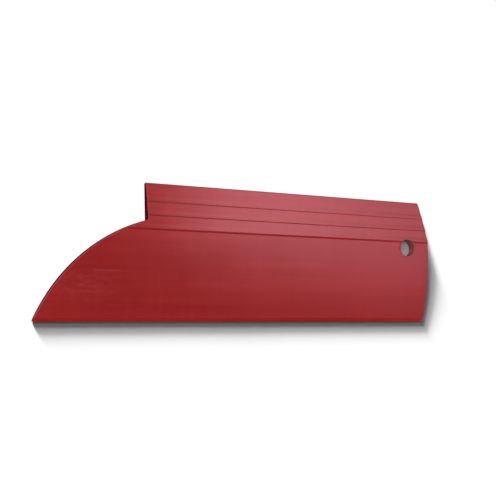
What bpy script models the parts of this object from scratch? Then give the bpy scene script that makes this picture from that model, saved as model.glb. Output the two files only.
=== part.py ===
"""Squeegee applicator: one extruded rigid plastic blade for smoothing vinyl film.

It lies on its flat back. X runs along the blade, from the pointed tip to the end with the hanging hole,
Y runs from the thin working edge to the top of the grip, and Z is the thickness. The origin is on the back
face, in the middle of the blade's length and height. All lengths are in metres.
"""

import math

import bmesh
import bpy

COLLECTION = "squeegee_applicator"
CUTTERS = "squeegee_applicator_cutters"
NODE = "squeegee_blade"

# Overall size
LENGTH = 0.305
HEIGHT = 0.089

# Thickness, which varies up the blade: thin edge, thick shoulder under the grip, thinner top
EDGE_THICKNESS = 0.0014
LIP_THICKNESS = 0.0024
LIP_HEIGHT = 0.0024
SHOULDER_THICKNESS = 0.0065
SHOULDER_HEIGHT = 0.0594
TOP_THICKNESS = 0.0026
EDGE_RADIUS = 0.0004
TOP_FRONT_RADIUS = 0.0010
TOP_BACK_RADIUS = 0.0005

# Raised ribs along the grip: three full ones a pitch apart, the lowest on the shoulder, and a faint one.
# A rib's feet lie this far below and above its middle, and its lower flank is the steeper one.
RIB_COUNT = 3
RIB_PITCH = 0.0090
RIB_RISE = 0.00025
RIB_LOWER_FOOT = 0.0015
RIB_UPPER_FOOT = 0.0030
RIB_LOWER_FLANK = 0.0011
RIB_UPPER_FLANK = 0.0026
FAINT_RIB_HEIGHT = 0.0843
FAINT_RIB_RISE = 0.00012

# Outline: a round nose from the tip up to the notch, the grip's square front end, and a bowed far end
NOTCH_X = 0.0752
NOTCH_FLOOR = 0.0646
NOSE_RADIUS = 0.1185
END_RADIUS = 0.185

# Hanging hole through the blade
HOLE_RADIUS = 0.0062
HOLE_FROM_END = 0.0200
HOLE_HEIGHT = 0.0541

# Edges that turn by more than this are sharp; the rest are shaded round
SHARP_ANGLE = math.radians(30)

# How finely the round stretches are divided
NOSE_STEPS = 48
END_STEPS = 24
CORNER_STEPS = 4
FLANK_STEPS = 3
HOLE_SIDES = 48

CUTTER_MARGIN = 0.004
WELD_DISTANCE = 0.000001

RED = (0.36, 0.022, 0.022, 1.0)
ROUGHNESS = 0.34


def clear_scene():
    for thing in list(bpy.data.objects):
        bpy.data.objects.remove(thing, do_unlink=True)


def make_collection(name):
    collection = bpy.data.collections.new(name)
    bpy.context.scene.collection.children.link(collection)
    return collection


def red_plastic():
    """Rigid extruded plastic, red right through, with a satin gloss from the die."""
    material = bpy.data.materials.new("red_plastic")
    material.use_nodes = True
    shader = material.node_tree.nodes["Principled BSDF"]
    shader.inputs["Base Color"].default_value = RED
    shader.inputs["Roughness"].default_value = ROUGHNESS
    shader.inputs["Metallic"].default_value = 0.0
    return material


def arc(centre, radius, start, end, steps):
    """Points along a circle from the start angle to the end angle, both included."""
    points = []
    for i in range(steps + 1):
        angle = start + (end - start) * i / steps
        points.append((centre[0] + radius * math.cos(angle), centre[1] + radius * math.sin(angle)))
    return points


def circle_centre(start, end, radius):
    """Centre of the circle through two points that lies to the right of the way from start to end."""
    middle = ((start[0] + end[0]) / 2, (start[1] + end[1]) / 2)
    dx = end[0] - start[0]
    dy = end[1] - start[1]
    chord = math.hypot(dx, dy)
    off = math.sqrt(radius * radius - chord * chord / 4)
    return (middle[0] + off * dy / chord, middle[1] - off * dx / chord)


def angle_from(centre, point):
    return math.atan2(point[1] - centre[1], point[0] - centre[0])


def face_thickness(height):
    """Thickness of the blade, without its ribs, at a height above the working edge."""
    if height < LIP_HEIGHT:
        share = height / LIP_HEIGHT
        return EDGE_THICKNESS + share * (LIP_THICKNESS - EDGE_THICKNESS)
    if height < SHOULDER_HEIGHT:
        share = (height - LIP_HEIGHT) / (SHOULDER_HEIGHT - LIP_HEIGHT)
        return LIP_THICKNESS + share * (SHOULDER_THICKNESS - LIP_THICKNESS)
    share = (height - SHOULDER_HEIGHT) / (HEIGHT - SHOULDER_HEIGHT)
    return SHOULDER_THICKNESS + share * (TOP_THICKNESS - SHOULDER_THICKNESS)


def rib_profile(height, rise):
    """One rib's section, from its lower foot to its upper foot: two eased flanks with a flat crest between."""
    shares = [i / FLANK_STEPS for i in range(FLANK_STEPS + 1)]
    lower = [(height - RIB_LOWER_FOOT + share * RIB_LOWER_FLANK, share) for share in shares]
    upper = [(height + RIB_UPPER_FOOT - share * RIB_UPPER_FLANK, share) for share in reversed(shares)]
    points = []
    for place, share in lower + upper:
        lift = rise * share * share * (3 - 2 * share)
        points.append((place, face_thickness(place) + lift))
    return points


def rounded_corner(before, corner, after, radius):
    """An arc in place of a convex corner that is met going clockwise."""
    back = angle_from(corner, before)
    turn = (angle_from(corner, after) - back) % (2 * math.pi)
    middle = back + turn / 2
    reach = radius / math.sin(turn / 2)
    centre = (corner[0] + reach * math.cos(middle), corner[1] + reach * math.sin(middle))
    half_sweep = (math.pi - turn) / 2
    start = middle + math.pi + half_sweep
    return arc(centre, radius, start, start - 2 * half_sweep, CORNER_STEPS)


def section_profile():
    """The blade's section as (height, thickness) points, clockwise: up the front face and down the back."""
    edge_back = (0.0, 0.0)
    edge_front = (0.0, EDGE_THICKNESS)
    lip = (LIP_HEIGHT, LIP_THICKNESS)
    top_front = (HEIGHT, TOP_THICKNESS)
    top_back = (HEIGHT, 0.0)
    points = rounded_corner(top_back, edge_back, edge_front, EDGE_RADIUS)
    points += rounded_corner(edge_back, edge_front, lip, EDGE_RADIUS)
    points.append(lip)
    for i in range(RIB_COUNT):
        points += rib_profile(SHOULDER_HEIGHT + i * RIB_PITCH, RIB_RISE)
    points += rib_profile(FAINT_RIB_HEIGHT, FAINT_RIB_RISE)
    points += rounded_corner(points[-1], top_front, top_back, TOP_FRONT_RADIUS)
    points += rounded_corner(top_front, top_back, edge_back, TOP_BACK_RADIUS)
    return points


def outline():
    """The blade's outline seen from the front, clockwise from the tip."""
    tip = (0.0, 0.0)
    notch_corner = (NOTCH_X, NOTCH_FLOOR)
    nose_centre = circle_centre(tip, notch_corner, NOSE_RADIUS)
    start = angle_from(nose_centre, tip)
    end = angle_from(nose_centre, notch_corner)
    points = arc(nose_centre, NOSE_RADIUS, start, end, NOSE_STEPS)
    points.append((NOTCH_X, HEIGHT))
    half_angle = math.asin(HEIGHT / 2 / END_RADIUS)
    end_centre = (LENGTH - END_RADIUS, HEIGHT / 2)
    points += arc(end_centre, END_RADIUS, half_angle, -half_angle, END_STEPS)
    return points


def filled_curve(name, points, depth):
    """A closed flat outline with a depth, as a curve object centred on its own plane."""
    curve = bpy.data.curves.new(name, "CURVE")
    curve.dimensions = "2D"
    curve.fill_mode = "BOTH"
    curve.extrude = depth / 2
    spline = curve.splines.new("POLY")
    spline.points.add(len(points) - 1)
    for place, (x, y) in zip(spline.points, points):
        place.co = (x, y, 0.0, 1.0)
    spline.use_cyclic_u = True
    return bpy.data.objects.new(name, curve)


def mesh_from_curve(flat, collection):
    """Turns a curve object into a closed mesh object in the same place, and removes the curve."""
    name = flat.name
    collection.objects.link(flat)
    bpy.context.view_layer.update()
    evaluated = flat.evaluated_get(bpy.context.evaluated_depsgraph_get())
    mesh = bpy.data.meshes.new_from_object(evaluated)
    welded = bmesh.new()
    welded.from_mesh(mesh)
    bmesh.ops.remove_doubles(welded, verts=welded.verts, dist=WELD_DISTANCE)
    bmesh.ops.recalc_face_normals(welded, faces=welded.faces)
    welded.to_mesh(mesh)
    welded.free()
    mesh.shade_smooth()
    mesh.set_sharp_from_angle(angle=SHARP_ANGLE)
    solid = bpy.data.objects.new(name + "_mesh", mesh)
    solid.matrix_world = flat.matrix_world
    bpy.data.objects.remove(flat, do_unlink=True)
    solid.name = name
    collection.objects.link(solid)
    return solid


def extruded_bar(collection):
    """The bar as it leaves the die: the section drawn out along X, a little longer than the blade."""
    flat = filled_curve(NODE, section_profile(), LENGTH + 2 * CUTTER_MARGIN)
    flat.rotation_euler = (math.pi / 2, 0.0, math.pi / 2)
    flat.location = (0.0, -HEIGHT / 2, 0.0)
    return mesh_from_curve(flat, collection)


def outline_cutter(collection):
    """The shape that the bar is trimmed to, taller than the blade is thick."""
    depth = SHOULDER_THICKNESS + 2 * CUTTER_MARGIN
    flat = filled_curve("outline_cutter", outline(), depth)
    flat.location = (-LENGTH / 2, -HEIGHT / 2, SHOULDER_THICKNESS / 2)
    return mesh_from_curve(flat, collection)


def hole_cutter(collection):
    """A cylinder through the blade for the hanging hole."""
    bpy.ops.mesh.primitive_cylinder_add(
        vertices=HOLE_SIDES,
        radius=HOLE_RADIUS,
        depth=SHOULDER_THICKNESS + 2 * CUTTER_MARGIN,
        location=(LENGTH / 2 - HOLE_FROM_END, HOLE_HEIGHT - HEIGHT / 2, SHOULDER_THICKNESS / 2),
    )
    cutter = bpy.context.object
    cutter.name = "hole_cutter"
    cutter.data.shade_smooth()
    cutter.data.set_sharp_from_angle(angle=SHARP_ANGLE)
    for owner in list(cutter.users_collection):
        owner.objects.unlink(cutter)
    collection.objects.link(cutter)
    return cutter


def as_guide(cutter):
    cutter.hide_render = True
    cutter.display_type = "WIRE"


def cut(blade, name, cutter, operation):
    modifier = blade.modifiers.new(name, "BOOLEAN")
    modifier.operation = operation
    modifier.solver = "EXACT"
    modifier.object = cutter
    as_guide(cutter)


def main():
    clear_scene()
    parts = make_collection(COLLECTION)
    cutters = make_collection(CUTTERS)
    blade = extruded_bar(parts)
    blade.data.materials.append(red_plastic())
    cut(blade, "outline", outline_cutter(cutters), "INTERSECT")
    cut(blade, "hanging_hole", hole_cutter(cutters), "DIFFERENCE")


main()
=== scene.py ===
"""Looks of the squeegee applicator: its fine mesh, its satin red plastic, the studio and the camera.

The blade is one extruded bar, cut to its outline and drilled. Its fine mesh is a grid: rows follow the
extruded section up the blade, and columns run along it from the nose or notch to the bowed far end.
Lengths are in metres in the row frame: X along the blade, Y from the working edge to the top of the grip,
and Z out of the ribbed face.
"""

import math

import bmesh
import bpy
import numpy as np
from mathutils import Euler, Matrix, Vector


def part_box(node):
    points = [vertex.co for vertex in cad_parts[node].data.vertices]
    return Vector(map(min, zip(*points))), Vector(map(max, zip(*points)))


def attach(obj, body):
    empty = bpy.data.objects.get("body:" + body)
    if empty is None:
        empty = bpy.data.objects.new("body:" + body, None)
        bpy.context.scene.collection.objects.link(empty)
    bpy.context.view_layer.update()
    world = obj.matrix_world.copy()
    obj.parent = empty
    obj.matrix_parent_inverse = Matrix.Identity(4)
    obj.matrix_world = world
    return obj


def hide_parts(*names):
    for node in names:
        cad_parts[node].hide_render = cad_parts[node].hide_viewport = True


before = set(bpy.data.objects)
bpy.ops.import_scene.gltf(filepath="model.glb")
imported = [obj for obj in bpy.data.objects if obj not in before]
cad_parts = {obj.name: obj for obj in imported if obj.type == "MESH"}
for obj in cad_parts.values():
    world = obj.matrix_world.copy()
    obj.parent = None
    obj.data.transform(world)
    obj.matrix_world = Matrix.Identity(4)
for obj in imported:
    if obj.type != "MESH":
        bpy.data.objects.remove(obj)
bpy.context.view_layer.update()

NODE = "squeegee_blade"
LOW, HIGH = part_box(NODE)

# Driving sizes of the blade
LENGTH = HIGH.x - LOW.x
HEIGHT = HIGH.y - LOW.y
EDGE_THICKNESS = 0.0014
LIP_THICKNESS = 0.0024
LIP_HEIGHT = 0.0024
SHOULDER_THICKNESS = 0.0065
SHOULDER_HEIGHT = 0.0594
TOP_THICKNESS = 0.0026

# Raised ribs: each is the height of its middle and how far it stands out. Its feet lie this far below and
# above its middle, and its lower flank is the steeper one.
RIB_LOWER_FOOT = 0.0015
RIB_UPPER_FOOT = 0.0030
RIB_LOWER_FLANK = 0.0011
RIB_UPPER_FLANK = 0.0026
RIB_PITCH = 0.0090
RIB_RISE = 0.00025
FAINT_RIB_HEIGHT = 0.0843
FAINT_RIB_RISE = 0.00012
RIB_COUNT = 3
RIBS = [(SHOULDER_HEIGHT + i * RIB_PITCH, RIB_RISE) for i in range(RIB_COUNT)]
RIBS.append((FAINT_RIB_HEIGHT, FAINT_RIB_RISE))

# Outline
NOTCH_X = 0.0752
NOTCH_FLOOR = 0.0646
NOSE_RADIUS = 0.1185
END_RADIUS = 0.185
TIP_CORNER = 0.0006
END_CORNER = 0.0008

# Hanging hole
HOLE_RADIUS = 0.0062
HOLE_FROM_END = 0.0200
HOLE_X = LENGTH - HOLE_FROM_END
HOLE_Y = 0.0541
HOLE_SIDES = 96
RIM_RADIUS = 0.0003
RIM_SWEEP = math.radians(66)
CUTTER_OVERSHOOT = 1.5 * RIM_RADIUS

# Softened edges: of the ribbed face all round, of its top edge, and of the back all round
OUTER_EDGE_RADIUS = 0.0003
TOP_EDGE_RADIUS = 0.0010
BACK_EDGE_RADIUS = 0.0004

# Fineness of the mesh
ROW_STEP = 0.0014
COLUMN_STEP = 0.0020
RIM_REACH = 0.0040
RIM_COLUMNS = 12
FLANK_ROWS = 5
CORNER_ROWS = 6
ARC_STEPS = 96
CREASE_REACH = 0.0002
SMALL = 0.000001
ROW_DECIMALS = 7
SHARP_ANGLE = math.radians(38)

# Wear, with painted rim shade, falls off over this distance from a cut edge. Painted shade by the ribs
# falls off over this distance from the middle of a rib's steep flank, and this share of it is left at the
# far end.
RIM_WEAR_AND_SHADE_REACH = 0.0006
RIB_SHADE_REACH = 0.0006
RIB_SHADE_AT_FAR_END = 0.2

# Material slots of the blade. A face is part of a sawn wall if its normal points less than the first limit
# up or down, and more than the second one along the blade, which a face beside the nose doesn't have to.
EXTRUDED, SAWN, DRILLED = range(3)
UPRIGHT_LIMIT = 0.35
ENDWARD_LIMIT = 0.2

# Slow unevenness of an extruded bar: its waves, and how many radians further on each of them starts than
# the one before it, along the blade and up it
WAVE_HEIGHT = 0.00006
WAVE_LENGTHS = (0.113, 0.071, 0.047)
WAVE_START_ALONG = 1.7
WAVE_START_UP = 0.9

# Camera: above the blade, swung towards the tip
CAMERA_AIM = Vector((-0.0010, 0.0039, 0.0))
CAMERA_DISTANCE = 0.6754
CAMERA_TURN = Euler((math.radians(7.54), math.radians(-30.64), math.radians(-1.79)), "XYZ")
LENS = 72.0
CLIP_START = 0.01


def arc(centre, radius, start, end, steps):
    """Points along a circle from the start angle to the end angle, both included."""
    angles = np.linspace(start, end, steps + 1)
    return np.column_stack((centre[0] + radius * np.cos(angles), centre[1] + radius * np.sin(angles)))


def circle_centre(start, end, radius):
    """Centre of the circle through two points that lies to the right of the way from start to end."""
    start, end = np.array(start), np.array(end)
    way = end - start
    chord = np.hypot(*way)
    off = math.sqrt(radius ** 2 - chord ** 2 / 4)
    return (start + end) / 2 + off * np.array((way[1], -way[0])) / chord


def angle_from(centre, point):
    return math.atan2(point[1] - centre[1], point[0] - centre[0])


def rounded_corner(before, corner, after, radius):
    """An arc in place of a convex corner that is met going clockwise."""
    back = angle_from(corner, before)
    turn = (angle_from(corner, after) - back) % (2 * math.pi)
    middle = back + turn / 2
    reach = radius / math.sin(turn / 2)
    centre = (corner[0] + reach * math.cos(middle), corner[1] + reach * math.sin(middle))
    half_sweep = (math.pi - turn) / 2
    start = middle + math.pi + half_sweep
    return arc(centre, radius, start, start - 2 * half_sweep, CORNER_ROWS)


def outline_sides():
    """The outline's left side and right side, each from the working edge up, as (x, height) points."""
    tip = (0.0, 0.0)
    corner = (NOTCH_X, NOTCH_FLOOR)
    top_left = (NOTCH_X, HEIGHT)
    nose_centre = circle_centre(tip, corner, NOSE_RADIUS)
    nose_start = angle_from(nose_centre, tip)
    nose_end = angle_from(nose_centre, corner)
    nose = arc(nose_centre, NOSE_RADIUS, nose_start, nose_end, ARC_STEPS)
    half_angle = math.asin(HEIGHT / 2 / END_RADIUS)
    bow = arc((LENGTH - END_RADIUS, HEIGHT / 2), END_RADIUS, half_angle, -half_angle, ARC_STEPS)
    tip_round = rounded_corner((LENGTH, 0.0), tip, nose[2], TIP_CORNER)
    top_left_round = rounded_corner(corner, top_left, (LENGTH, HEIGHT), END_CORNER)
    top_right_round = rounded_corner((0.0, HEIGHT), bow[0], bow[2], END_CORNER)
    low_right_round = rounded_corner(bow[-3], bow[-1], (0.0, 0.0), END_CORNER)
    nose = nose[nose[:, 1] > tip_round[-1][1] + SMALL]
    bow = bow[(bow[:, 1] < top_right_round[-1][1] - SMALL) & (bow[:, 1] > low_right_round[0][1] + SMALL)]
    left = np.vstack((tip_round, nose, top_left_round))
    right = np.vstack((top_right_round, bow, low_right_round))[::-1]
    return left, right


def distance_to_path(points, path, closed=True):
    """Shortest distance from each point to a path."""
    start = path if closed else path[:-1]
    way = np.roll(path, -1, axis=0)[:len(start)] - start
    length_squared = np.maximum((way ** 2).sum(axis=1), SMALL ** 2)
    shortest = np.full(len(points), np.inf)
    for a, d, l2 in zip(start, way, length_squared):
        share = np.clip(((points - a) @ d) / l2, 0.0, 1.0)
        gap = points - a - share[:, None] * d
        shortest = np.minimum(shortest, np.hypot(gap[:, 0], gap[:, 1]))
    return shortest


def face_height(height):
    """Z of the ribbed face, before its edges are softened, at heights above the working edge."""
    level = np.interp(
        height,
        [0.0, LIP_HEIGHT, SHOULDER_HEIGHT, HEIGHT],
        [EDGE_THICKNESS, LIP_THICKNESS, SHOULDER_THICKNESS, TOP_THICKNESS],
    )
    for middle, rise in RIBS:
        up = (height - middle + RIB_LOWER_FOOT) / RIB_LOWER_FLANK
        down = (middle + RIB_UPPER_FOOT - height) / RIB_UPPER_FLANK
        share = np.clip(np.minimum(up, down), 0.0, 1.0)
        level = level + rise * share * share * (3 - 2 * share)
    return level


def edge_drop(distance, radius):
    """How far a face with a rounded edge lies below its own level, that far in from the edge."""
    inside = np.clip(radius - distance, 0.0, radius)
    return radius - np.sqrt(radius ** 2 - inside ** 2)


def slow_waves(x, height):
    """Unevenness of a few hundredths of a millimetre, long along the blade and across it."""
    total = 0.0
    for i, wave in enumerate(WAVE_LENGTHS):
        along = np.sin(2 * np.pi * x / wave + WAVE_START_ALONG * i)
        up = np.cos(np.pi * height / wave + WAVE_START_UP * i)
        total = total + along * up
    return WAVE_HEIGHT * total / len(WAVE_LENGTHS)


def row_heights():
    """Heights of the mesh's rows: close where the section turns, and even between."""
    turn = np.sin(np.linspace(0.0, math.pi / 2, CORNER_ROWS + 1))
    rows = [np.arange(0.0, HEIGHT, ROW_STEP)[1:-1]]
    rows.append(OUTER_EDGE_RADIUS * (1 - turn))
    rows.append(HEIGHT - TOP_EDGE_RADIUS * (1 - turn))
    rows.append([LIP_HEIGHT - CREASE_REACH, LIP_HEIGHT, LIP_HEIGHT + CREASE_REACH])
    rows.append([NOTCH_FLOOR - 2 * CREASE_REACH, NOTCH_FLOOR, NOTCH_FLOOR + CREASE_REACH])
    for middle, _rise in RIBS:
        lower = (middle - RIB_LOWER_FOOT, middle - RIB_LOWER_FOOT + RIB_LOWER_FLANK, -1)
        upper = (middle + RIB_UPPER_FOOT, middle + RIB_UPPER_FOOT - RIB_UPPER_FLANK, 1)
        for foot, crest, side in (lower, upper):
            rows.append(np.linspace(foot, crest, FLANK_ROWS + 1))
            rows.append([foot + side * CREASE_REACH, crest - side * CREASE_REACH])
    every = np.unique(np.round(np.concatenate(rows), ROW_DECIMALS))
    regular = np.isin(every, np.round(rows[0], ROW_DECIMALS))
    crowded = np.array([np.sort(np.abs(every - h))[1] < ROW_STEP / 3 for h in every])
    return every[~(regular & crowded)]


def column_places(left, right):
    """X of one row's vertices, from its left end to its right: close near both ends, and even between."""
    close = RIM_REACH * np.linspace(0.0, 1.0, RIM_COLUMNS + 1) ** 2
    count = int((LENGTH - NOTCH_X) / COLUMN_STEP)
    middle = np.linspace(left + RIM_REACH, right - RIM_REACH, count + 1)[1:-1]
    return np.concatenate((left + close, middle, right - close[::-1]))


def blade_grid(left_side, right_side):
    """The grid's (x, height) points, as an array of rows by columns."""
    heights = row_heights()
    lefts = np.interp(heights, left_side[:, 1], left_side[:, 0])
    rights = np.interp(heights, right_side[:, 1], right_side[:, 0])
    xs = np.array([column_places(a, b) for a, b in zip(lefts, rights)])
    return np.stack((xs, np.broadcast_to(heights[:, None], xs.shape)), axis=-1)


def blade_mesh(outline):
    """The whole bar cut to its outline, as a ring of vertices round each column, capped at both ends."""
    left_side, right_side = outline
    grid = blade_grid(left_side, right_side)
    rows, columns = grid.shape[:2]
    flat = grid.reshape(-1, 2)
    in_from_edge = distance_to_path(flat, np.vstack((left_side, right_side[::-1])))
    outer_drop = edge_drop(in_from_edge, OUTER_EDGE_RADIUS)
    top_drop = edge_drop(HEIGHT - flat[:, 1], TOP_EDGE_RADIUS)
    front = face_height(flat[:, 1]) - np.maximum(outer_drop, top_drop)
    front += slow_waves(flat[:, 0], flat[:, 1])
    back = edge_drop(in_from_edge, BACK_EDGE_RADIUS)
    places = np.column_stack((flat[:, 0] + LOW.x, flat[:, 1] + LOW.y))
    vertices = np.vstack((np.column_stack((places, front)), np.column_stack((places, back))))

    index = np.arange(rows * columns).reshape(rows, columns)
    rings = np.vstack((index, index[::-1] + rows * columns)).T
    faces = []
    for ring, following in zip(rings, rings[1:]):
        for i in range(len(ring)):
            j = (i + 1) % len(ring)
            faces.append((ring[i], ring[j], following[j], following[i]))
    for ring in (rings[0], rings[-1]):
        for i in range(rows - 1):
            faces.append((ring[i], ring[i + 1], ring[-2 - i], ring[-1 - i]))
    mesh = bpy.data.meshes.new("blade")
    mesh.from_pydata(vertices.tolist(), [], [tuple(int(v) for v in face) for face in faces])
    work = bmesh.new()
    work.from_mesh(mesh)
    bmesh.ops.recalc_face_normals(work, faces=work.faces)
    work.to_mesh(mesh)
    work.free()
    return mesh


def hole_cutter():
    """The drill for the hanging hole. It flares towards each face, which softens the hole's rim."""
    turns = np.linspace(0.0, 2 * math.pi, HOLE_SIDES, endpoint=False)
    sweep = np.linspace(0.0, RIM_SWEEP, CORNER_ROWS + 1)
    flare = HOLE_RADIUS + RIM_RADIUS * (1 - np.cos(sweep))
    sink = RIM_RADIUS * (1 - np.sin(sweep))
    outer = flare[-1] + CUTTER_OVERSHOOT * math.tan(RIM_SWEEP)
    below = [(outer, -CUTTER_OVERSHOOT)]
    below += [(radius, depth) for radius, depth in zip(flare[::-1], sink[::-1])]
    above = [(radius, -offset) for radius, offset in reversed(below)]
    levels = [(radius, offset, False) for radius, offset in below]
    levels += [(radius, offset, True) for radius, offset in above]
    work = bmesh.new()
    rings = []
    for radius, offset, on_face in levels:
        ring = []
        for turn in turns:
            x = HOLE_X + radius * math.cos(turn)
            height = HOLE_Y + radius * math.sin(turn)
            level = float(face_height(height)) if on_face else 0.0
            ring.append(work.verts.new((x + LOW.x, height + LOW.y, level + offset)))
        rings.append(ring)
    for ring, following in zip(rings, rings[1:]):
        for i in range(HOLE_SIDES):
            j = (i + 1) % HOLE_SIDES
            work.faces.new((ring[i], ring[j], following[j], following[i]))
    work.faces.new(rings[0])
    work.faces.new(rings[-1])
    bmesh.ops.recalc_face_normals(work, faces=work.faces)
    mesh = bpy.data.meshes.new("hole_cutter")
    work.to_mesh(mesh)
    work.free()
    return mesh


def drilled(mesh, cutter_mesh):
    """The blade's mesh with the hanging hole cut out."""
    scene = bpy.context.scene.collection
    blade = bpy.data.objects.new("squeegee", mesh)
    cutter = bpy.data.objects.new("cutter", cutter_mesh)
    scene.objects.link(blade)
    scene.objects.link(cutter)
    modifier = blade.modifiers.new("hanging_hole", "BOOLEAN")
    modifier.operation = "DIFFERENCE"
    modifier.solver = "EXACT"
    modifier.object = cutter
    bpy.context.view_layer.update()
    evaluated = blade.evaluated_get(bpy.context.evaluated_depsgraph_get())
    result = bpy.data.meshes.new_from_object(evaluated)
    bpy.data.objects.remove(cutter, do_unlink=True)
    bpy.data.objects.remove(blade, do_unlink=True)
    return result


def places_on_face(mesh):
    """Each vertex's distance along the blade and its height above the working edge."""
    places = np.empty(len(mesh.vertices) * 3)
    mesh.vertices.foreach_get("co", places)
    return places.reshape(-1, 3)[:, :2] - np.array((LOW.x, LOW.y))


def store_on_vertices(mesh, name, values):
    """Adds one number to each vertex, for a material to read by this name."""
    attribute = mesh.attributes.new(name, "FLOAT", "POINT")
    attribute.data.foreach_set("value", values.astype(np.float32))


def mark_rim_wear_and_shade(mesh, outline):
    """Stores, on each vertex, how near it is to the outline's left or right side or to the hole, for wear
    and painted rim shade.
    """
    flat = places_on_face(mesh)
    to_left, to_right = (distance_to_path(flat, side, closed=False) for side in outline)
    to_hole = np.abs(np.hypot(flat[:, 0] - HOLE_X, flat[:, 1] - HOLE_Y) - HOLE_RADIUS)
    nearest = np.minimum(np.minimum(to_left, to_right), to_hole)
    store_on_vertices(mesh, "rim_wear_and_shade", np.exp(-nearest / RIM_WEAR_AND_SHADE_REACH))


def mark_rib_shade(mesh):
    """Stores, on each vertex, how near it is to the steep flank of a full rib above the shoulder, as
    painted shade.
    """
    flat = places_on_face(mesh)
    rib_shade = np.zeros(len(flat))
    for middle, _rise in RIBS[1:RIB_COUNT]:
        flank = middle - RIB_LOWER_FOOT + RIB_LOWER_FLANK / 2
        rib_shade = np.maximum(rib_shade, np.exp(-((flat[:, 1] - flank) / RIB_SHADE_REACH) ** 2))
    rib_shade *= np.interp(flat[:, 0], [NOTCH_X, LENGTH], [1.0, RIB_SHADE_AT_FAR_END])
    store_on_vertices(mesh, "rib_shade", rib_shade)


def mark_cut_walls(mesh):
    """Gives the sawn ends and the milled nose the second material, and the drilled hole the third."""
    for face in mesh.polygons:
        x = face.center.x - LOW.x
        height = face.center.y - LOW.y
        upright = abs(face.normal.z) < UPRIGHT_LIMIT
        end_wall = abs(face.normal.x) > ENDWARD_LIMIT or x < NOTCH_X
        if math.hypot(x - HOLE_X, height - HOLE_Y) < HOLE_RADIUS + RIM_RADIUS:
            face.material_index = DRILLED
        elif upright and end_wall and height > OUTER_EDGE_RADIUS:
            face.material_index = SAWN
        else:
            face.material_index = EXTRUDED


class Nodes:
    """Short calls for building one material's node tree."""

    def __init__(self, name):
        self.material = bpy.data.materials.new(name)
        self.material.use_nodes = True
        self.tree = self.material.node_tree
        self.shader = self.tree.nodes["Principled BSDF"]
        self.place = self.tree.nodes.new("ShaderNodeTexCoord").outputs["Object"]

    def link(self, source, target):
        self.tree.links.new(source, target)

    def noise(self, stretch, detail=3.0, roughness=0.55, distortion=0.0):
        """Noise in object space; stretch is how many waves a metre holds along X, Y and Z."""
        mapping = self.tree.nodes.new("ShaderNodeMapping")
        mapping.inputs["Scale"].default_value = stretch
        texture = self.tree.nodes.new("ShaderNodeTexNoise")
        texture.inputs["Scale"].default_value = 1.0
        texture.inputs["Detail"].default_value = detail
        texture.inputs["Roughness"].default_value = roughness
        texture.inputs["Distortion"].default_value = distortion
        self.link(self.place, mapping.inputs["Vector"])
        self.link(mapping.outputs["Vector"], texture.inputs["Vector"])
        return texture.outputs["Fac"]

    def patch(self, place, size):
        """1 at the place, falling to 0 this far from it along each axis."""
        mapping = self.tree.nodes.new("ShaderNodeMapping")
        mapping.inputs["Location"].default_value = [-p / s for p, s in zip(place, size)]
        mapping.inputs["Scale"].default_value = [1 / s for s in size]
        gradient = self.tree.nodes.new("ShaderNodeTexGradient")
        gradient.gradient_type = "SPHERICAL"
        self.link(self.place, mapping.inputs["Vector"])
        self.link(mapping.outputs["Vector"], gradient.inputs["Vector"])
        return gradient.outputs["Fac"]

    def spread(self, value, low, high, to_low=0.0, to_high=1.0):
        """Maps low..high to to_low..to_high, held at both ends."""
        node = self.tree.nodes.new("ShaderNodeMapRange")
        node.inputs["From Min"].default_value = low
        node.inputs["From Max"].default_value = high
        node.inputs["To Min"].default_value = to_low
        node.inputs["To Max"].default_value = to_high
        self.link(value, node.inputs["Value"])
        return node.outputs["Result"]

    def math(self, operation, first, second):
        node = self.tree.nodes.new("ShaderNodeMath")
        node.operation = operation
        for value, target in ((first, node.inputs[0]), (second, node.inputs[1])):
            if isinstance(value, (int, float)):
                target.default_value = value
            else:
                self.link(value, target)
        return node.outputs["Value"]

    def mix(self, share, first, second):
        """A colour between two, each a colour or a socket."""
        node = self.tree.nodes.new("ShaderNodeMix")
        node.data_type = "RGBA"
        self.link(share, node.inputs["Factor"])
        for value, target in ((first, node.inputs["A"]), (second, node.inputs["B"])):
            if isinstance(value, tuple):
                target.default_value = value
            else:
                self.link(value, target)
        return node.outputs["Result"]

    def attribute(self, name):
        node = self.tree.nodes.new("ShaderNodeAttribute")
        node.attribute_name = name
        return node.outputs["Fac"]

    def bump(self, height, strength, depth, under=None):
        """The surface's normal with a relief this deep, on top of another normal if one is given."""
        node = self.tree.nodes.new("ShaderNodeBump")
        node.inputs["Strength"].default_value = strength
        node.inputs["Distance"].default_value = depth
        self.link(height, node.inputs["Height"])
        if under is not None:
            self.link(under, node.inputs["Normal"])
        return node.outputs["Normal"]


# Colours of the plastic: the clean face's two reds, its marks, painted shade for its rims and ribs, and
# where it is cut, with the sawn walls painted dark as shade
RED = (0.385, 0.019, 0.018, 1.0)
DEEP_RED = (0.33, 0.014, 0.014, 1.0)
SCUFF_RED = (0.42, 0.070, 0.080, 1.0)
# Rims: partly wear, partly painted shade
WORN_AND_SHADED_RED = (0.20, 0.035, 0.045, 1.0)
# Painted shade along the ribs' steep flanks
RIB_SHADE_RED = (0.14, 0.004, 0.005, 1.0)
# Painted shade: the sawn walls' reds are far darker than the plastic's own red.
SAWN_SHADED_RED = (0.15, 0.011, 0.015, 1.0)
SAWN_SHADE_DARK = (0.07, 0.006, 0.010, 1.0)
DRILLED_RED = (0.34, 0.07, 0.075, 1.0)
DRILLED_PALE = (0.46, 0.20, 0.21, 1.0)

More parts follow.
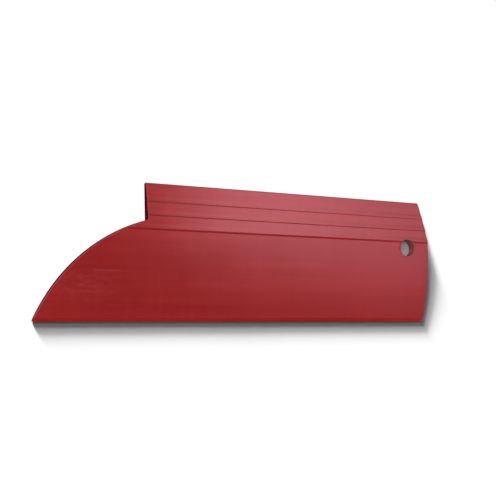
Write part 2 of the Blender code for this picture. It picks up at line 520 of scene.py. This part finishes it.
# Gloss of the plastic. The extruded face's gloss is tinted, and its roughness lies in a narrow range.
PLASTIC_IOR = 1.49
GLOSS_TINT = (1.0, 0.42, 0.475, 1.0)
FACE_GLOSS = 1.0
FACE_ROUGHNESS = (0.17, 0.21)
SAWN_GLOSS = 0.0
DRILLED_GLOSS = 0.25
CUT_ROUGHNESS = (0.60, 0.80)

# How far scuffs, wear with painted rim shade, and painted shade by the ribs take the red to their own
# colour, and how much rougher scuffs and wear make it
SCUFF_COLOUR_SHARE = 0.55
RIM_WEAR_AND_SHADE_SHARE = 0.5
RIB_SHADE_SHARE = 0.45
SCUFF_ROUGHNESS = 0.10
WEAR_ROUGHNESS = 0.40

# Patterns in the plastic: how many waves a metre holds along X, Y and Z
DIE_LINES = (2.0, 900.0, 900.0)
BROAD_LINES = (4.0, 160.0, 160.0)
GRAIN = (2600.0, 2600.0, 2600.0)
RUBBED_STREAKS = (38.0, 420.0, 420.0)
CLOUDS = (14.0, 22.0, 22.0)
WIPING = (300.0, 40.0, 40.0)
SPECKLES = (120.0, 480.0, 480.0)
TOOL_MARKS = (1500.0, 1500.0, 60.0)
CUT_CLOUDS = (120.0, 120.0, 120.0)

# How much of the change between the two reds comes from each pattern
CLOUD_SHARE = 0.4
LINE_SHARE = 0.4
WIPING_SHARE = 0.2

# Depths of the surface's fine relief
BROAD_LINE_DEPTH = 0.00005
DIE_LINE_DEPTH = 0.00003
GRAIN_DEPTH = 0.00002
TOOL_MARK_DEPTH = 0.00005

# Marks on the nose: the middle and the reach of a dusty patch and of one scratch
DUST_PLACE = Vector((-0.121, -0.0225, 0.0))
DUST_SIZE = Vector((0.030, 0.014, 1.0))
SCRATCH_PLACE = Vector((-0.1055, -0.0130, 0.0))
SCRATCH_SIZE = Vector((0.019, 0.0008, 1.0))


def face_colour(make, broad_lines, scuffs, worn_and_shaded_rims):
    """Two close reds in slow clouds and streaks, paler scuffs, rims darker with wear and painted shade,
    and painted shade by the ribs.
    """
    clouds = make.noise(CLOUDS, detail=3.0)
    wiping = make.noise(WIPING, detail=4.0, roughness=0.6)
    shade = make.math("MULTIPLY", clouds, CLOUD_SHARE)
    shade = make.math("ADD", shade, make.math("MULTIPLY", broad_lines, LINE_SHARE))
    shade = make.math("ADD", shade, make.math("MULTIPLY", wiping, WIPING_SHARE))
    colour = make.mix(make.spread(shade, 0.40, 0.60), DEEP_RED, RED)
    colour = make.mix(make.math("MULTIPLY", scuffs, SCUFF_COLOUR_SHARE), colour, SCUFF_RED)
    # The rims' darker red is partly wear and partly painted shade.
    colour = make.mix(make.math("MULTIPLY", worn_and_shaded_rims, RIM_WEAR_AND_SHADE_SHARE), colour, WORN_AND_SHADED_RED)
    # Painted shade: the red darkens along each full rib's steep flank, less towards the far end.
    rib_shade = make.attribute("rib_shade")
    return make.mix(make.math("MULTIPLY", rib_shade, RIB_SHADE_SHARE), colour, RIB_SHADE_RED)


def face_scuffs(make, rubbed):
    """How scuffed the plastic is, from 0 to 1: by the dust, by the scratch and in rubbed streaks."""
    speckles = make.noise(SPECKLES, detail=5.0, roughness=0.75)
    dust = make.math("MULTIPLY", make.patch(DUST_PLACE, DUST_SIZE), make.spread(speckles, 0.44, 0.80))
    scratch_breaks = make.spread(speckles, 0.34, 0.60)
    scratch = make.math("MULTIPLY", make.patch(SCRATCH_PLACE, SCRATCH_SIZE), scratch_breaks)
    rubs = make.spread(rubbed, 0.62, 0.86, 0.0, 0.5)
    return make.math("MAXIMUM", make.math("MAXIMUM", dust, scratch), rubs)


def extruded_plastic():
    """Satin red plastic with the die's fine lines, marks on the nose, worn rims with painted shade, and
    painted shade by the ribs.
    """
    make = Nodes("red_plastic")
    die_lines = make.noise(DIE_LINES, detail=4.0, roughness=0.6)
    broad_lines = make.noise(BROAD_LINES, detail=2.0)
    grain = make.noise(GRAIN, detail=2.0)
    rubbed = make.noise(RUBBED_STREAKS, detail=5.0, roughness=0.72, distortion=0.3)
    scuffs = face_scuffs(make, rubbed)
    wear_and_shade_breaks = make.spread(rubbed, 0.38, 0.62, 0.25, 1.0)
    # Rims: real wear in the roughness, and in the colour partly wear and partly painted shade.
    worn_and_shaded_rims = make.math("MULTIPLY", make.attribute("rim_wear_and_shade"), wear_and_shade_breaks)
    make.link(face_colour(make, broad_lines, scuffs, worn_and_shaded_rims), make.shader.inputs["Base Color"])

    roughness = make.spread(broad_lines, 0.3, 0.7, *FACE_ROUGHNESS)
    roughness = make.math("ADD", roughness, make.math("MULTIPLY", scuffs, SCUFF_ROUGHNESS))
    roughness = make.math("ADD", roughness, make.math("MULTIPLY", worn_and_shaded_rims, WEAR_ROUGHNESS))
    make.link(roughness, make.shader.inputs["Roughness"])

    normal = make.bump(broad_lines, strength=0.60, depth=BROAD_LINE_DEPTH)
    normal = make.bump(die_lines, strength=0.50, depth=DIE_LINE_DEPTH, under=normal)
    normal = make.bump(grain, strength=0.18, depth=GRAIN_DEPTH, under=normal)
    make.link(normal, make.shader.inputs["Normal"])
    make.shader.inputs["IOR"].default_value = PLASTIC_IOR
    make.shader.inputs["Specular IOR Level"].default_value = FACE_GLOSS
    make.shader.inputs["Specular Tint"].default_value = GLOSS_TINT
    return make.material


def cut_plastic(name, dark, light, gloss):
    """The same plastic where a saw, mill or drill has cut it: dull, with the tool's marks through it."""
    make = Nodes(name)
    marks = make.noise(TOOL_MARKS, detail=3.0, roughness=0.6)
    clouds = make.noise(CUT_CLOUDS, detail=2.0)
    make.link(make.mix(make.spread(clouds, 0.35, 0.65), dark, light), make.shader.inputs["Base Color"])
    make.link(make.spread(marks, 0.3, 0.7, *CUT_ROUGHNESS), make.shader.inputs["Roughness"])
    make.link(make.bump(marks, strength=0.5, depth=TOOL_MARK_DEPTH), make.shader.inputs["Normal"])
    make.shader.inputs["IOR"].default_value = PLASTIC_IOR
    make.shader.inputs["Specular IOR Level"].default_value = gloss
    return make.material


def add_blade():
    """The blade: its mesh, its three materials, and what it replaces in the frame."""
    outline = outline_sides()
    mesh = drilled(blade_mesh(outline), hole_cutter())
    mark_rim_wear_and_shade(mesh, outline)
    mark_rib_shade(mesh)
    mesh.materials.clear()
    mesh.materials.append(extruded_plastic())
    # The sawn walls are painted dark red as shade.
    mesh.materials.append(cut_plastic("red_plastic_sawn_shaded", SAWN_SHADE_DARK, SAWN_SHADED_RED, SAWN_GLOSS))
    mesh.materials.append(cut_plastic("red_plastic_drilled", DRILLED_RED, DRILLED_PALE, DRILLED_GLOSS))
    mark_cut_walls(mesh)
    mesh.shade_smooth()
    mesh.set_sharp_from_angle(angle=SHARP_ANGLE)
    blade = bpy.data.objects.new("blade", mesh)
    bpy.context.scene.collection.objects.link(blade)
    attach(blade, "root")
    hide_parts(NODE)
    return blade


# Floor: a white table top, a hair below the blade's back so that the two don't flicker
FLOOR_SIZE = 12.0
FLOOR_GAP = 0.0002
FLOOR_WHITE = (0.93, 0.93, 0.93, 1.0)
FLOOR_ROUGHNESS = 0.9
FLOOR_GLOW = 0.005


def add_floor():
    """The white floor, which belongs to the stage and not to the object."""
    bpy.ops.mesh.primitive_plane_add(size=FLOOR_SIZE, location=(0.0, 0.0, LOW.z - FLOOR_GAP))
    floor = bpy.context.object
    floor.name = "floor"
    make = Nodes("floor_white")
    make.shader.inputs["Base Color"].default_value = FLOOR_WHITE
    make.shader.inputs["Roughness"].default_value = FLOOR_ROUGHNESS
    make.shader.inputs["Specular IOR Level"].default_value = 0.0
    make.shader.inputs["Emission Color"].default_value = FLOOR_WHITE
    make.shader.inputs["Emission Strength"].default_value = FLOOR_GLOW
    floor.data.materials.append(make.material)
    return floor


def collection_of(name, *objects):
    """A collection, outside the scene, that a light's reach is limited to."""
    group = bpy.data.collections.new(name)
    for thing in objects:
        group.objects.link(thing)
    return group


def direction(azimuth, elevation):
    """Unit vector; azimuth counts from +X towards +Y."""
    a, e = math.radians(azimuth), math.radians(elevation)
    return Vector((math.cos(e) * math.cos(a), math.cos(e) * math.sin(a), math.sin(e)))


def add_softbox(name, centre, size, aim, radiance, colour, lights_only):
    """A softbox of this size and brightness. Aim is its rotation: without any, it shines straight down."""
    light = bpy.data.lights.new(name, "AREA")
    light.shape = "RECTANGLE"
    light.size, light.size_y = size
    light.energy = radiance * math.pi * size[0] * size[1]
    light.color = colour
    softbox = bpy.data.objects.new(name, light)
    softbox.location = centre
    softbox.rotation_euler = aim
    bpy.context.scene.collection.objects.link(softbox)
    softbox.light_linking.receiver_collection = lights_only


def add_floor_sun(name, azimuth, elevation, brightness, softness, lights_only):
    """A far light for the floor alone. Brightness is the share of white that it gives the bare floor."""
    light = bpy.data.lights.new(name, "SUN")
    light.energy = brightness * math.pi / FLOOR_WHITE[0] / math.sin(math.radians(elevation))
    light.angle = math.radians(softness)
    sun = bpy.data.objects.new(name, light)
    sun.rotation_euler = direction(azimuth, elevation).to_track_quat("Z", "Y").to_euler()
    bpy.context.scene.collection.objects.link(sun)
    sun.light_linking.receiver_collection = lights_only


# Softboxes, which light the blade alone. Two hang side by side as one long window, the far one dimmer and
# bluer; a wide one brings out the red, and one stands low past the far end.
WINDOW_PLACE = (1.10, 1.10, 1.50)
FAR_WINDOW_PLACE = (1.511, 1.013, 1.50)
WINDOW_SIZE = (0.42, 2.24)
WINDOW_AIM = Euler((0.0, 0.0, math.radians(-12)))
WINDOW_RADIANCE = 3.2
FAR_WINDOW_RADIANCE = 2.1
WINDOW_COLOUR = (0.97, 0.98, 1.0)
FAR_WINDOW_COLOUR = (0.84, 0.91, 1.0)
FILL_PLACE = (-0.70, 0.40, 2.20)
FILL_SIZE = (1.60, 1.80)
FILL_AIM = Euler((0.0, 0.0, 0.0))
FILL_RADIANCE = 4.4
FILL_COLOUR = (1.0, 0.99, 0.97)
END_FILL_PLACE = (2.20, -1.00, 0.50)
END_FILL_SIZE = (1.20, 0.60)
END_FILL_AIM = Vector(END_FILL_PLACE).to_track_quat("Z", "Y").to_euler()
END_FILL_RADIANCE = 7.0

# Lights of the floor alone: name, azimuth, elevation, brightness and softness
FLOOR_SUNS = (
    ("low_floor_light", 117.0, 9.8, 0.56, 9.0),
    ("middle_floor_light", 117.0, 17.5, 0.35, 17.0),
    ("high_floor_light", 140.0, 45.0, 0.07, 16.0),
)

# The spotlight on the floor inside the hanging hole
HOLE_LIGHT_POWER = 22.0
HOLE_LIGHT_COLOUR = (1.0, 0.90, 1.0)
HOLE_LIGHT_DISTANCE = 1.0
HOLE_LIGHT_AZIMUTH = 168.0
HOLE_LIGHT_ELEVATION = 56.0
HOLE_LIGHT_CONE = math.radians(1.3)
HOLE_LIGHT_BLEND = 0.2
HOLE_LIGHT_RADIUS = 0.02


def add_hole_light(lights_only):
    """A narrow spotlight on the floor inside the hanging hole."""
    light = bpy.data.lights.new("hole_light", "SPOT")
    light.energy = HOLE_LIGHT_POWER
    light.color = HOLE_LIGHT_COLOUR
    light.spot_size = HOLE_LIGHT_CONE
    light.spot_blend = HOLE_LIGHT_BLEND
    light.shadow_soft_size = HOLE_LIGHT_RADIUS
    way = direction(HOLE_LIGHT_AZIMUTH, HOLE_LIGHT_ELEVATION)
    spot = bpy.data.objects.new("hole_light", light)
    spot.location = Vector((HOLE_X - LENGTH / 2, HOLE_Y - HEIGHT / 2, 0.0)) + way * HOLE_LIGHT_DISTANCE
    spot.rotation_euler = way.to_track_quat("Z", "Y").to_euler()
    bpy.context.scene.collection.objects.link(spot)
    spot.light_linking.receiver_collection = lights_only


def add_lights(blade, floor):
    """Softboxes for the blade, and suns and a spotlight for the floor.

    The low suns throw the long soft shadow, and the high one brightens the floor close to the blade.
    """
    on_blade = collection_of("lit_by_softboxes", blade)
    on_floor = collection_of("lit_by_floor_lights", floor)
    softboxes = (
        ("window", WINDOW_PLACE, WINDOW_SIZE, WINDOW_AIM, WINDOW_RADIANCE, WINDOW_COLOUR),
        ("far_window", FAR_WINDOW_PLACE, WINDOW_SIZE, WINDOW_AIM, FAR_WINDOW_RADIANCE, FAR_WINDOW_COLOUR),
        ("fill", FILL_PLACE, FILL_SIZE, FILL_AIM, FILL_RADIANCE, FILL_COLOUR),
        ("end_fill", END_FILL_PLACE, END_FILL_SIZE, END_FILL_AIM, END_FILL_RADIANCE, FILL_COLOUR),
    )
    for softbox in softboxes:
        add_softbox(*softbox, on_blade)
    for sun in FLOOR_SUNS:
        add_floor_sun(*sun, on_floor)
    add_hole_light(on_floor)


# Brightness of the surroundings, as the camera sees them and as the plastic and the floor do
WORLD_WHITE = (1.0, 1.0, 1.0, 1.0)
WORLD_SEEN = 1.0
WORLD_REFLECTED = 0.06


def add_world():
    """Dim surroundings for the gloss, and a white backdrop behind the floor."""
    world = bpy.data.worlds.new("studio")
    bpy.context.scene.world = world
    world.use_nodes = True
    tree = world.node_tree
    seen = tree.nodes.new("ShaderNodeLightPath").outputs["Is Camera Ray"]
    level = tree.nodes.new("ShaderNodeMapRange")
    level.inputs["To Min"].default_value = WORLD_REFLECTED
    level.inputs["To Max"].default_value = WORLD_SEEN
    tree.links.new(seen, level.inputs["Value"])
    tree.links.new(level.outputs["Result"], tree.nodes["Background"].inputs["Strength"])
    tree.nodes["Background"].inputs["Color"].default_value = WORLD_WHITE


def add_camera():
    """The camera, looking at its aim from its distance along its own turned axis."""
    data = bpy.data.cameras.new("camera")
    data.lens = LENS
    data.clip_start = CLIP_START
    camera = bpy.data.objects.new("camera", data)
    camera.rotation_euler = CAMERA_TURN
    camera.location = CAMERA_AIM + CAMERA_TURN.to_matrix() @ Vector((0.0, 0.0, CAMERA_DISTANCE))
    bpy.context.scene.collection.objects.link(camera)
    bpy.context.scene.camera = camera


blade = add_blade()
floor = add_floor()
add_lights(blade, floor)
add_world()
add_camera()
bpy.context.scene.view_settings.view_transform = "Standard"
